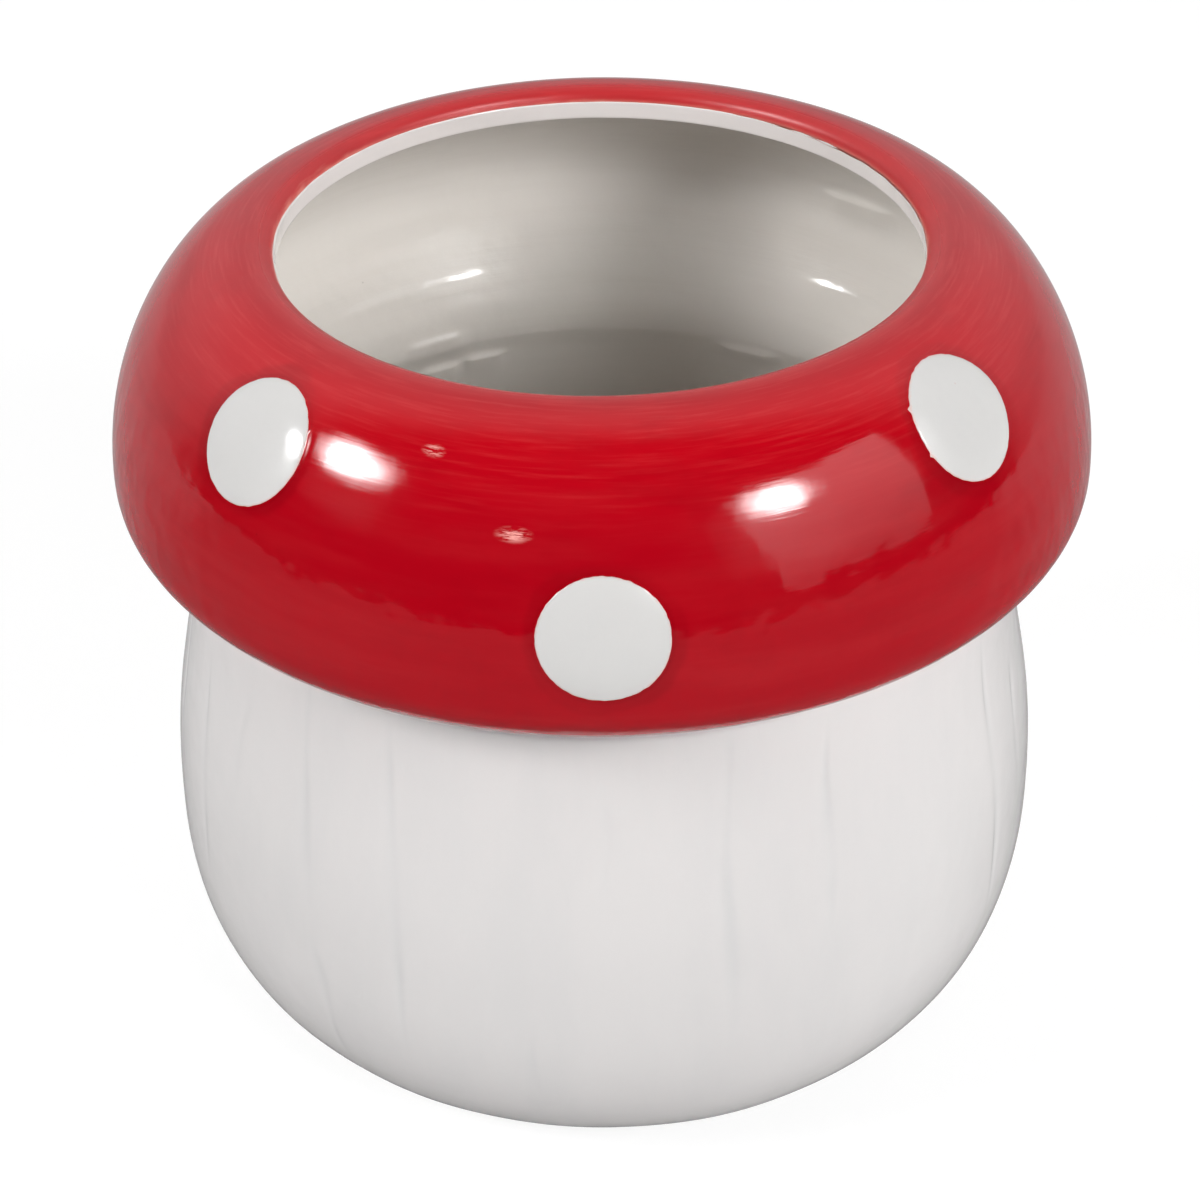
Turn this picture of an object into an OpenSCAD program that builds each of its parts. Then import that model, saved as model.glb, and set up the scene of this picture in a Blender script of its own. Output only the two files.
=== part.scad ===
// Decorative mushroom pot: a slip-cast stem and a hollow cap ring, luted together at the neck,
// glazed inside and out, with five raised white spots on the red cap.
// Millimetres, +Z up, origin at the centre of the foot's underside, the front faces -Y.

/* [Stem] */
// Height of the joint between stem and cap above the table
stem_h = 95.3; // [86:0.1:104]
// How far the stem's widest part stands out beyond that joint
belly_bulge = 6.8; // [4:0.1:11]
// Height of the stem's widest part above the table
belly_h = 39; // [33:0.5:45]
// Thickness of the stem's cast wall and floor
stem_wall = 4.5; // [3.5:0.25:5.5]
// Width of the streaks pressed into the stem
streak_w = 1.6; // [0.8:0.1:2.4]
// Depth of those streaks
streak_depth = 0.3; // [0.15:0.05:0.35]

/* [Foot] */
// Outer width of the bare foot ring
foot_d = 92; // [84:1:100]
// Height of the foot ring below the glaze
foot_h = 1.5; // [1:0.25:2.5]
// Width of the ring that the pot stands on
foot_w = 6; // [4:0.5:9]
// Depth of the hollow inside the foot ring
foot_recess = 1.2; // [0.6:0.1:2]

/* [Cap] */
// Widest part of the cap
cap_d = 165; // [160:0.5:174]
// How far the cap stands out beyond the joint
cap_overhang = 12.3; // [11:0.1:15]
// Height of the cap from the joint to the top of its rim
cap_h = 51.5; // [46:0.5:58]
// Radius of the cap's rolled lower edge
edge_r = 8; // [8:0.5:11]
// Slope of the cap's underside in degrees
underside_slope = 36; // [28:1:42]
// Thickness of the cap's cast wall
cap_wall = 4.5; // [3.5:0.25:5.5]
// How far the ridge that the joint leaves inside stands out
ridge_rise = 1.3; // [0.6:0.1:2]
// Height of that ridge's middle above the joint
ridge_h = 6.2; // [4.6:0.2:7.8]

/* [Mouth] */
// Width of the rim from the mouth to the cap's widest part
rim_w = 29.5; // [26:0.5:36]
// Width of the rounded lip from the mouth to the top of the rim
lip_w = 3; // [2:0.25:5]
// Rise of the lip from the edge of the red glaze to the top of the rim
lip_rise = 2.4; // [1.6:0.2:3.6]
// Height of the white band below the edge of the red glaze
band_h = 3.8; // [2.6:0.1:5]

/* [Glaze] */
// Thickness of the glaze outside
glaze_t = 0.7; // [0.5:0.1:1]
// Thickness of the glaze inside
inner_glaze_t = 0.6; // [0.4:0.1:0.8]
// Thickness of the slip that joins cap and stem
slip_t = 1.2; // [0.6:0.2:2.4]

/* [Spots] */
// Width of a spot
spot_d = 19.9; // [14:0.1:24]
// How far a spot stands out of the red glaze
spot_rise = 0.5; // [0.2:0.1:1.2]
// Turn of the left spot away from the front in degrees
left_turn = 46; // [36:1:70]
// Turn of the right spot away from the front in degrees
right_turn = 49.5; // [36:0.5:70]
// Turn of the two rear spots away from the front in degrees
rear_turn = 140; // [110:1:160]

/* [Hidden] */

// Places along the shoulder, from the rim to the widest level, where high and low spots sit
high_spot_share = 0.47;
low_spot_share = 0.8;

// How far each curve keeps its end's direction, as shares of that curve's width or height
rim_pull_share = 0.43;
side_pull_share = 0.55;
waist_pull_share = 0.46;
waist_flare_share = 0.34;
belly_pull_share = 0.47;
base_pull_share = 0.54;
foot_pull_share = 0.73;
foot_bevel_share = 0.33;

// Streaks around the stem: their turns from the front, and where each begins and ends
// on the way from the joint (0) over the widest level (1) to the foot (2)
streak_turns = [-65, -55, -41, -38, -27, -9, 0, 15.5, 29, 61, 71,
                88, 103, 121, 134, 152, 169, -174, -158, -141, -126, -108, -92, -79];
streak_reach_shares = [[0.2, 1.05], [0.15, 0.5], [0.03, 0.8], [0.95, 1.5], [0.03, 1.15], [0.95, 1.6],
                       [0.15, 0.5], [0.03, 1.12], [0.03, 0.75], [0.1, 1.05], [0.3, 0.75],
                       [0.05, 0.9], [0.6, 1.3], [0.03, 1.1], [0.9, 1.5], [0.05, 0.7], [0.1, 1.2], [0.03, 0.6],
                       [0.8, 1.45], [0.03, 1.05], [0.2, 0.8], [0.05, 1.15], [0.9, 1.4], [0.1, 0.7]];

// How far a streak's ends stand out of the glaze, as a share of its depth
streak_lift_share = 0.35;

// Steps along each stretch of the outline
lip_steps = 6;
shoulder_steps = 24;
edge_steps = 8;
neck_steps = 5;
ridge_steps = 8;
waist_steps = 18;
base_steps = 20;
streak_steps = 10;
overrun = 1;
$fn = 360;

foot_r = foot_d / 2;
cap_r = cap_d / 2;
neck_r = cap_r - cap_overhang;
belly_r = neck_r + belly_bulge;
mouth_r = cap_r - rim_w;
rim_r = mouth_r + lip_w;
spot_r = spot_d / 2;
joint_z = stem_h;
seat_z = joint_z - slip_t;
cap_top = joint_z + cap_h;
mouth_z = cap_top - lip_rise;
cap_depth = glaze_t + cap_wall;
stem_depth = glaze_t + stem_wall;
floor_z = foot_h + stem_depth;

// The rolled edge is tangent to the cap's widest level and to the sloping underside
edge_r0 = cap_r - edge_r;
wide_z = joint_z + (edge_r + (edge_r0 - neck_r) * sin(underside_slope)) / cos(underside_slope);
shoulder = [[rim_r, cap_top],
            [rim_r + rim_pull_share * (cap_r - rim_r), cap_top],
            [cap_r, wide_z + side_pull_share * (cap_top - wide_z)],
            [cap_r, wide_z]];
waist_drop = seat_z - belly_h;
waist = [[neck_r, seat_z],
         [neck_r + waist_flare_share * (belly_r - neck_r), seat_z - waist_pull_share * waist_drop],
         [belly_r, belly_h + belly_pull_share * waist_drop],
         [belly_r, belly_h]];
base = [[belly_r, belly_h],
        [belly_r, belly_h - base_pull_share * (belly_h - foot_h)],
        [foot_r + foot_pull_share * (belly_r - foot_r), foot_h],
        [foot_r, foot_h]];

function reversed(list) = [for (k = [len(list) - 1:-1:0]) list[k]];

// A point of a cubic curve, its direction, and the same point moved inwards by a depth
function along(c, t) =
    pow(1 - t, 3) * c[0] + 3 * pow(1 - t, 2) * t * c[1] + 3 * (1 - t) * t * t * c[2] + pow(t, 3) * c[3];
function heading(c, t) =
    pow(1 - t, 2) * (c[1] - c[0]) + 2 * (1 - t) * t * (c[2] - c[1]) + t * t * (c[3] - c[2]);
function outward(d) = [-d[1], d[0]] / norm(d);
function inset(c, t, depth) = along(c, t) - depth * outward(heading(c, t));

// The rounded lip, from the mouth to the rim's top, as a quarter ellipse
function lip(width, rise) =
    [for (k = [0:lip_steps - 1])
        let (a = 90 * k / lip_steps)
        [rim_r - width * cos(a), mouth_z + rise * sin(a)]];

// The inside corner opposite the neck's notch is an arc around the notch
function notch(depth) =
    depth == 0 ? [[neck_r, joint_z]] :
    [for (k = [0:neck_steps])
        let (a = (90 - underside_slope) * (1 - k / neck_steps))
        [neck_r - depth * cos(a), joint_z + depth * sin(a)]];

// The cap's outline from the rim's top to the joint
function cap_outline(depth) = concat(
    [for (k = [0:shoulder_steps]) inset(shoulder, k / shoulder_steps, depth)],
    [for (k = [1:edge_steps])
        let (a = (90 - underside_slope) * k / edge_steps)
        [edge_r0 + (edge_r - depth) * cos(a), wide_z - (edge_r - depth) * sin(a)]],
    notch(depth));

// The same outline for the inside, where the joint leaves a ridge of slip
function swell(z) =
    abs(z - joint_z - ridge_h) < ridge_h ? ridge_rise * pow(cos(90 * (z - joint_z - ridge_h) / ridge_h), 2) : 0;
function swollen(point, angle) =
    point - swell(point[1]) * [cos(angle), -sin(angle)];
function cap_inside(depth) =
    let (full = 90 - underside_slope,
         fold = [edge_r0 + (edge_r - depth) * cos(full), wide_z - (edge_r - depth) * sin(full)],
         bend = [neck_r - depth * cos(full), joint_z + depth * sin(full)])
    concat(
        [for (k = [0:shoulder_steps]) inset(shoulder, k / shoulder_steps, depth)],
        [for (k = [1:edge_steps])
            let (a = full * k / edge_steps)
            swollen([edge_r0 + (edge_r - depth) * cos(a), wide_z - (edge_r - depth) * sin(a)], a)],
        [for (k = [1:ridge_steps - 1])
            swollen(fold + (bend - fold) * k / ridge_steps, full)],
        [for (k = [neck_steps:-1:0])
            let (a = full * k / neck_steps)
            swollen([neck_r - depth * cos(a), joint_z + depth * sin(a)], a)]);

// The stem's outline from its seat to the foot
function stem_outline(depth) = concat(
    [[neck_r - depth, seat_z]],
    [for (k = [1:waist_steps]) inset(waist, k / waist_steps, depth)],
    [for (k = [1:base_steps]) inset(base, k / base_steps, depth)]);
function stem_point(share, depth) =
    share <= 1 ? inset(waist, share, depth) : inset(base, share - 1, depth);

cap_face = concat(lip(lip_w, lip_rise), cap_outline(0));
cap_clay = concat(lip(lip_w - inner_glaze_t, lip_rise - glaze_t), cap_outline(glaze_t));
cap_hollow = concat([[mouth_r + inner_glaze_t, mouth_z - band_h + inner_glaze_t]], cap_inside(cap_depth));

module turned(outline) {
    rotate_extrude() polygon(outline);
}

// The cast stem with its floor and foot ring, open at the top
module stem_pot() {
    color("oldlace")
    turned(concat(
        stem_outline(glaze_t),
        [[foot_r, foot_h * foot_bevel_share],
         [foot_r - foot_h * foot_bevel_share, 0],
         [foot_r - foot_w, 0],
         [foot_r - foot_w, foot_recess],
         [0, foot_recess],
         [0, floor_z]],
        reversed(stem_outline(stem_depth))));
}

// The hollow cast cap ring, open below to the stem and above at the mouth
module cap_shell() {
    color("oldlace")
    turned(concat(cap_clay, reversed(cap_hollow)));
}

// The layer of slip that lutes the cap to the stem
module neck_slip() {
    color("linen")
    turned([[neck_r - glaze_t, joint_z],
            [neck_r - glaze_t, seat_z],
            [neck_r - stem_depth, seat_z],
            [neck_r - cap_depth, joint_z]]);
}

// One streak: a shallow band along the stem's outline that rises out of the glaze at both ends
module streak(turn, reach) {
    band = [for (k = [0:streak_steps]) reach[0] + (reach[1] - reach[0]) * k / streak_steps];
    dip = [for (k = [0:streak_steps])
        streak_depth * ((1 + streak_lift_share) * sin(180 * k / streak_steps) - streak_lift_share)];
    width_angle = 180 * streak_w / (PI * belly_r);
    rotate([0, 0, turn - 90 - width_angle / 2])
    rotate_extrude(angle = width_angle)
    polygon(concat(
        [for (share = band) stem_point(share, -overrun)],
        [for (k = [streak_steps:-1:0]) stem_point(band[k], dip[k])]));
}

// The white glaze over the outside of the stem, down to the foot ring
module stem_glaze() {
    color("whitesmoke")
    difference() {
        turned(concat(
            [[neck_r, joint_z]],
            stem_outline(0),
            reversed(stem_outline(glaze_t)),
            [[neck_r - glaze_t, joint_z]]));
        for (k = [0:len(streak_turns) - 1]) streak(streak_turns[k], streak_reach_shares[k]);
    }
}

// The glaze inside: the band in the mouth, the cap's hollow, the stem's wall and the floor
module inner_glaze() {
    color("gainsboro")
    turned(concat(
        [[mouth_r + inner_glaze_t, mouth_z]],
        cap_hollow,
        stem_outline(stem_depth),
        [[0, floor_z], [0, floor_z + inner_glaze_t]],
        reversed(stem_outline(stem_depth + inner_glaze_t)),
        reversed(cap_inside(cap_depth + inner_glaze_t)),
        [[mouth_r, mouth_z - band_h], [mouth_r, mouth_z]]));
}

// Puts what it is given on the cap's face, its own Z along the face's normal
module on_shoulder(turn, share) {
    place = along(shoulder, share);
    normal = outward(heading(shoulder, share));
    rotate([0, 0, turn])
    translate([0, -place[0], place[1]])
    rotate([atan2(normal[0], normal[1]), 0, 0])
    children();
}

// The red glaze over the cap, with a round window for each spot
module red_glaze() {
    color("crimson")
    difference() {
        turned(concat(cap_face, reversed(cap_clay)));
        on_shoulder(0, low_spot_share) spot_window();
        on_shoulder(-left_turn, high_spot_share) spot_window();
        on_shoulder(right_turn, high_spot_share) spot_window();
        on_shoulder(-rear_turn, low_spot_share) spot_window();
        on_shoulder(rear_turn, low_spot_share) spot_window();
    }
}

module spot_window() {
    cylinder(r = spot_r, h = spot_r, center = true);
}

// A spot: a round patch that follows the cap's curve, cut below to sit on the cap's clay
module spot(turn, share) {
    color("white")
    difference() {
        intersection() {
            turned(concat(
                [[0, cap_top + spot_rise]],
                [for (k = [0:shoulder_steps]) inset(shoulder, k / shoulder_steps, -spot_rise)],
                [for (k = [1:edge_steps])
                    let (a = (90 - underside_slope) * k / edge_steps)
                    [edge_r0 + (edge_r + spot_rise) * cos(a), wide_z - (edge_r + spot_rise) * sin(a)]],
                [[0, joint_z]]));
            on_shoulder(turn, share) cylinder(r = spot_r, h = 2 * spot_r, center = true);
        }
        turned(concat(cap_clay, [[0, joint_z], [0, mouth_z]]));
    }
}

module front_spot() { spot(0, low_spot_share); }
module left_spot() { spot(-left_turn, high_spot_share); }
module right_spot() { spot(right_turn, high_spot_share); }
module rear_left_spot() { spot(-rear_turn, low_spot_share); }
module rear_right_spot() { spot(rear_turn, low_spot_share); }

stem_pot();
cap_shell();
neck_slip();
stem_glaze();
inner_glaze();
red_glaze();
front_spot();
left_spot();
right_spot();
rear_left_spot();
rear_right_spot();
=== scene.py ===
import math

import bpy
import numpy as np
from mathutils import Matrix


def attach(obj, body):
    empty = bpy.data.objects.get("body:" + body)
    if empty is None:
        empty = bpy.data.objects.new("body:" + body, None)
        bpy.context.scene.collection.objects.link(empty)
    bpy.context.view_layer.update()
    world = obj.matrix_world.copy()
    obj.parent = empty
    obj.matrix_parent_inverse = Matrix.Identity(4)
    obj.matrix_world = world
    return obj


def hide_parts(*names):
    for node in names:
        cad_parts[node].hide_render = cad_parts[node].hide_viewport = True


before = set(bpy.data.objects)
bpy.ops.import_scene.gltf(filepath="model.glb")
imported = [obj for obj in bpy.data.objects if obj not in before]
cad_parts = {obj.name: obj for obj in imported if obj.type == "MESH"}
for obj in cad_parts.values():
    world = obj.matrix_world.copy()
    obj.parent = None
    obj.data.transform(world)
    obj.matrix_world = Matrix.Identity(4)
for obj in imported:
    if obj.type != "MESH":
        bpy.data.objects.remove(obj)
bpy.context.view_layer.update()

MM = 0.001


# Sizes that the frame gives, in millimetres

def radii_and_heights(node):
    co = np.array([v.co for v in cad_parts[node].data.vertices], float) / MM
    return np.hypot(co[:, 0], co[:, 1]), co[:, 2]


NEAR = 0.01
red_radii, red_heights = radii_and_heights("red_glaze")
stem_radii, stem_heights = radii_and_heights("stem_glaze")
slip_radii, slip_heights = radii_and_heights("neck_slip")
inner_radii, inner_heights = radii_and_heights("inner_glaze")
CAP_R = red_radii.max()
CAP_TOP = red_heights.max()
WIDE_Z = red_heights[red_radii > CAP_R - NEAR].mean()
RIM_R = red_radii[red_heights > CAP_TOP - NEAR].mean()
MOUTH_R = red_radii.min()
MOUTH_Z = red_heights[red_radii < MOUTH_R + NEAR].min()
JOINT_Z = red_heights.min()
NECK_R = red_radii[red_heights < JOINT_Z + NEAR].max()
SEAT_Z = slip_heights.min()
BELLY_R = stem_radii.max()
BELLY_Z = stem_heights[stem_radii > BELLY_R - NEAR].mean()
FOOT_Z = stem_heights.min()
FOOT_R = stem_radii[stem_heights < FOOT_Z + NEAR].max()
GLAZE = NECK_R - slip_radii.max()
WALL = NECK_R - slip_radii.min()
FLOOR_Z = inner_heights.min()
INNER_GLAZE = inner_radii[inner_heights > MOUTH_Z - NEAR].max() - MOUTH_R
BAND_FOOT_Z = inner_heights[(inner_radii < MOUTH_R + NEAR) & (inner_heights > WIDE_Z)].min()
LIP_W = RIM_R - MOUTH_R
LIP_RISE = CAP_TOP - MOUTH_Z

# The potter's curves, as in the frame
EDGE_ROUND = 8.0
UNDERSIDE_SLOPE = math.radians(36)
RIM_PULL, SIDE_PULL = 0.43, 0.55
WAIST_PULL, WAIST_FLARE, BELLY_PULL = 0.46, 0.34, 0.47
BASE_PULL, FOOT_PULL = 0.54, 0.73
HIGH_SPOT, LOW_SPOT = 0.47, 0.8
RIM_TILT = 0.25
RIDGE_RISE, RIDGE_H = 1.3, 6.2


# Outlines

LIP_STEPS, SHOULDER_STEPS, EDGE_STEPS, STEM_STEPS = 60, 400, 80, 300
SAME_PLACE = 1e-5


def curve(corners, t):
    t = np.asarray(t, float)[:, None]
    a, b, c, d = np.asarray(corners, float)
    return (1 - t) ** 3 * a + 3 * (1 - t) ** 2 * t * b + 3 * (1 - t) * t ** 2 * c + t ** 3 * d


def curve_inset(corners, t, depth):
    t = np.asarray(t, float)[:, None]
    a, b, c, d = np.asarray(corners, float)
    way = (1 - t) ** 2 * (b - a) + 2 * (1 - t) * t * (c - b) + t ** 2 * (d - c)
    out = np.stack([-way[:, 1], way[:, 0]], -1) / np.hypot(way[:, 0], way[:, 1])[:, None]
    return curve(corners, t[:, 0]) - depth * out


SHOULDER = [(RIM_R, CAP_TOP), (RIM_R + RIM_PULL * (CAP_R - RIM_R), CAP_TOP),
            (CAP_R, WIDE_Z + SIDE_PULL * (CAP_TOP - WIDE_Z)), (CAP_R, WIDE_Z)]
WAIST = [(NECK_R, SEAT_Z),
         (NECK_R + WAIST_FLARE * (BELLY_R - NECK_R), SEAT_Z - WAIST_PULL * (SEAT_Z - BELLY_Z)),
         (BELLY_R, BELLY_Z + BELLY_PULL * (SEAT_Z - BELLY_Z)), (BELLY_R, BELLY_Z)]
BASE = [(BELLY_R, BELLY_Z), (BELLY_R, BELLY_Z - BASE_PULL * (BELLY_Z - FOOT_Z)),
        (FOOT_R + FOOT_PULL * (BELLY_R - FOOT_R), FOOT_Z), (FOOT_R, FOOT_Z)]


def lip_line(width, rise):
    a = np.linspace(0, math.pi / 2, LIP_STEPS, endpoint=False)
    return np.stack([RIM_R - width * np.cos(a), MOUTH_Z + rise * np.sin(a)], -1)


def cap_line(depth):
    turn = np.linspace(0, math.pi / 2 - UNDERSIDE_SLOPE, EDGE_STEPS)
    centre_r = CAP_R - EDGE_ROUND
    edge = np.stack([centre_r + (EDGE_ROUND - depth) * np.cos(turn),
                     WIDE_Z - (EDGE_ROUND - depth) * np.sin(turn)], -1)
    shoulder = curve_inset(SHOULDER, np.linspace(0, 1, SHOULDER_STEPS), depth)
    if not depth:
        return np.vstack([shoulder, edge[1:], [(NECK_R, JOINT_Z)]])
    joint = np.stack([NECK_R - depth * np.cos(turn[::-1]), JOINT_Z + depth * np.sin(turn[::-1])], -1)
    slope = edge[-1] + (joint[0] - edge[-1]) * np.linspace(0, 1, EDGE_STEPS)[1:-1, None]
    return np.vstack([shoulder, edge[1:], slope, joint])


def stem_line(depth):
    t = np.linspace(0, 1, STEM_STEPS)
    waist, base = [curve_inset(line, t[1:], depth) for line in (WAIST, BASE)]
    return np.vstack([[(NECK_R - depth, SEAT_Z)], waist, base])


class Outline:
    """A line of the pot's cross-section: radius, height and outward normal by the way along it."""

    def __init__(self, points):
        points = np.asarray(points, float)
        steps = np.hypot(*np.diff(points, axis=0).T)
        points = points[np.r_[True, steps > SAME_PLACE]]
        self.way = np.r_[0, np.cumsum(np.hypot(*np.diff(points, axis=0).T))]
        self.points = points
        self.length = self.way[-1]
        dr, dz = np.gradient(points[:, 0], self.way), np.gradient(points[:, 1], self.way)
        size = np.hypot(dr, dz)
        self.normals = np.stack([-dz / size, dr / size], -1)

    def at(self, way):
        way = np.asarray(way, float)
        r, z, nr, nz = [np.interp(way, self.way, v) for v in (*self.points.T, *self.normals.T)]
        size = np.hypot(nr, nz)
        return r, z, nr / size, nz / size

    def way_at_height(self, z):
        """The first way along the line at which it passes a height."""
        return self.way[np.argmax(self.points[:, 1] <= z)]


def around(turn, r, z):
    """Points of the pot from their turn, which is 0 at the front and grows to the right."""
    return np.stack(np.broadcast_arrays(r * np.sin(turn), -r * np.cos(turn), z), -1)


def ease(low, high, x):
    t = np.clip((np.asarray(x, float) - low) / (high - low), 0, 1)
    return t * t * (3 - 2 * t)


def hump(x, middle, reach):
    return np.exp(-((np.asarray(x, float) - middle) / reach) ** 2)


WANDER_GAIN = 1.6


def wander(seed, turn, way, rounds, length, count=9):
    """Slow hand-made unevenness between about -1 and 1 that closes around the pot.

    It sums count waves. Each goes at most rounds times round the pot, and is at least length long along the way.
    """
    rng = np.random.default_rng(seed)
    total = 0
    for _ in range(count):
        k, slant, start = rng.integers(0, rounds + 1), rng.uniform(-2, 2), rng.uniform(0, 2 * math.pi)
        total = total + np.cos(k * turn + way / length * slant * math.pi + start)
    return total / count * WANDER_GAIN


SPACING_STEPS = 6001


def spaced(start, end, count, crowds, last=True):
    """Places between two ends that lie closer together near each (place, reach, times)."""
    x = np.linspace(start, end, SPACING_STEPS)
    dense = np.ones_like(x)
    for place, reach, times in crowds:
        dense += times * hump(x, place, reach)
    total = np.r_[0, np.cumsum((dense[1:] + dense[:-1]) / 2)]
    share = np.linspace(0, 1, count) if last else np.arange(count) / count
    return np.interp(share, total / total[-1], x)


def back_along(length, rows):
    """Places from the end of a line back to its start."""
    return length * (1 - np.arange(rows) / (rows - 1))


# Meshes

def grid_faces(rows, columns, closed):
    j = np.arange(rows if closed else rows - 1)[:, None]
    i = np.arange(columns)[None]
    below, beside = (j + 1) % rows, (i + 1) % columns
    return np.stack(np.broadcast_arrays(j * columns + i, below * columns + i,
                                        below * columns + beside, j * columns + beside), -1)


def strip(first, second, n):
    """Faces between two rings of n corners."""
    k = np.arange(n)
    after = (k + 1) % n
    return np.stack([first + k, first + after, second + after, second + k], -1)


def fan(first, middle, n):
    """Faces from a ring of n corners to one in its middle."""
    k = np.arange(n)
    return np.stack([first + k, first + (k + 1) % n, np.full(n, middle)], -1)


def make_piece(name, corners, faces, values):
    """A smooth mesh of the corners that its faces use, with a value of each kind per corner."""
    used = np.unique(np.concatenate([f.ravel() for f in faces]))
    fresh = np.full(len(corners), -1)
    fresh[used] = np.arange(len(used))
    mesh = bpy.data.meshes.new(name)
    mesh.from_pydata((corners[used] * MM).tolist(), [], [c for f in faces for c in fresh[f].tolist()])
    for key, value in values.items():
        kind, slot = ("FLOAT_VECTOR", "vector") if value.ndim == 2 else ("FLOAT", "value")
        attribute = mesh.attributes.new(key, kind, "POINT")
        attribute.data.foreach_set(slot, np.ascontiguousarray(value[used], np.float32).ravel())
    mesh.polygons.foreach_set("use_smooth", [True] * len(mesh.polygons))
    mesh.update()
    piece = bpy.data.objects.new(name, mesh)
    bpy.context.scene.collection.objects.link(piece)
    return piece


def dress(piece, node, material):
    piece.data.materials.append(material)
    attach(piece, "root")
    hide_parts(node)


def lay_of(turn, way, radius):
    """Where a glaze point lies on its coat, in millimetres, without a seam."""
    return around(turn, radius, way)


# The cap's red glaze

# The red runs down over the band at the mouth and stands out there a little. Its edge wavers slowly and quickly.
RED_OVERLAP = 0.55
RED_STEP = 0.05
RED_EDGE_RUN = 1.3
RED_EDGE_SLOW, RED_EDGE_QUICK = 0.2, 0.16
FOOT_POOL_W = 2.2

# The hand-finished face: its depth under the outline, and how far its waves and the rim depart, in millimetres
FACE_DEPTH, SLOW_WAVE, QUICK_WAVE, RIM_WAVE = 0.15, 0.1, 0.035, 0.06
RIM_REACH, TILT_END = 6, 40
CALM_AT_LIP, CALM_AT_FOOT = (-1.0, 2.5), (0, 3)

CAP_FACE = Outline(np.vstack([lip_line(LIP_W, LIP_RISE), cap_line(0)]))
CAP_CLAY = Outline(np.vstack([lip_line(LIP_W - INNER_GLAZE, LIP_RISE - GLAZE), cap_line(GLAZE)]))
CAP_COLUMNS = 480
CAP_ROWS = 72
CAP_BACK_ROWS = 14
LIP_ROWS = 9
LIP_LENGTH = Outline(lip_line(LIP_W, LIP_RISE)).length

# A spot's dome, and the seat in the glaze that its enamel fills
SPOT_R = 9.95
DOME_RISE, DOME_POWER = 0.5, 5
EDGE_RISE = 0.08
SEAT_R, SEAT_EDGE_W = 9.2, 0.35
SEAT_DEPTH = 0.3
ENAMEL = 0.1
GUTTER, GUTTER_AT, GUTTER_W = 0.02, 0.75, 0.55
JOIN_IN, JOIN_OUT = 0.25, 0.45

# Glaze that pools round a spot, and painted shade there, darkest in a line at the spot's edge: how far and how
# much, with slow and quick unevenness
POOL_SHADE_REACH, POOL_SHADE_SLOW, POOL_SHADE_QUICK, POOL_SHADE_SOFT = 2.1, 0.8, 0.45, (0.6, 0.5)
POOL_SHADE_SHARE, POOL_SHADE_VARIES = 0.45, 0.35
POOL_SHADE_LINE, POOL_SHADE_LINE_AT, POOL_SHADE_LINE_W = 0.35, 0.4, 0.4

# The round patch of mesh at each spot, and the square cut that it fills
PATCH_R = 13.2
PATCH_REACH = 15.0
PATCH_MARGIN = 2.0
PATCH_SHARES = (0.2, 0.45, 0.7)
PATCH_RADII = np.r_[PATCH_R, 12.7, 12.3, 11.9, 11.5, np.linspace(11.2, SPOT_R - 0.4, 14),
                    9.45, 9.35, 9.25, 9.15, 5.0]

# Each spot: its turn in degrees, its place down the shoulder, its seed, and how tall it is for its width
SPOTS = {
    "front_spot": (0.0, LOW_SPOT, 11, 0.965),
    "left_spot": (-46.0, HIGH_SPOT, 12, 1.02),
    "right_spot": (49.5, HIGH_SPOT - 0.025, 13, 1.03),
    "rear_left_spot": (-140.0, LOW_SPOT, 14, 0.98),
    "rear_right_spot": (140.0, LOW_SPOT, 15, 0.98),
}


def shoulder_way(share):
    """The way down the cap's face to a share of the shoulder's curve."""
    r, z = curve(SHOULDER, [share])[0]
    gap = np.hypot(CAP_FACE.points[:, 0] - r, CAP_FACE.points[:, 1] - z)
    return CAP_FACE.way[gap.argmin()]


def cap_sink(turn, way):
    """How far the hand-finished face lies below the outline, in millimetres."""
    slow = wander(3, turn, way, 5, 90)
    quick = wander(4, turn, way, 13, 34)
    rim = hump(way, LIP_LENGTH, RIM_REACH) * wander(5, turn, way * 0, 7, 60)
    tilt = RIM_TILT * (np.sin(turn) - 1) * (1 - ease(0, TILT_END, way))
    return -FACE_DEPTH + SLOW_WAVE * slow + QUICK_WAVE * quick + RIM_WAVE * rim + tilt


def cap_face(turn, way):
    r, z, nr, nz = CAP_FACE.at(way)
    sink = cap_sink(turn, way) * ease(*CALM_AT_FOOT, CAP_FACE.length - way) * ease(*CALM_AT_LIP, way)
    return around(turn, r + sink * nr, z + sink * nz)


FIT_ROUNDS = 8


class SpotPlace:
    """The plane that touches the cap under a spot's middle."""

    def __init__(self, turn, share):
        self.turn, self.way = math.radians(turn), shoulder_way(share)
        r, z, nr, nz = CAP_FACE.at(self.way)
        self.middle = around(self.turn, r, z)
        self.out = around(self.turn, nr, nz)
        self.across = np.array([math.cos(self.turn), math.sin(self.turn), 0.0])
        self.up = np.cross(self.out, self.across)

    def below(self, x, y):
        """Turn and way of the points of the cap's face under points of the plane."""
        turn, way = self.turn + x / CAP_R, self.way - y
        for _ in range(FIT_ROUNDS):
            r, z, nr, nz = CAP_FACE.at(way)
            gap = around(turn, r, z) - self.middle
            fx, fy = gap @ self.across - x, gap @ self.up - y
            by_turn = np.stack([r * np.cos(turn), r * np.sin(turn), 0 * r], -1)
            by_way = around(turn, nz, -nr)
            a, b = by_turn @ self.across, by_way @ self.across
            c, d = by_turn @ self.up, by_way @ self.up
            size = a * d - b * c
            turn = turn - (d * fx - b * fy) / size
            way = way - (a * fy - c * fx) / size
        return turn, way

    def above(self, x, y, height):
        """Points over the cap's face by a height, along the spot's own direction."""
        turn, way = self.below(x, y)
        return cap_face(turn, way) + np.asarray(height)[:, None] * self.out


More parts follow.
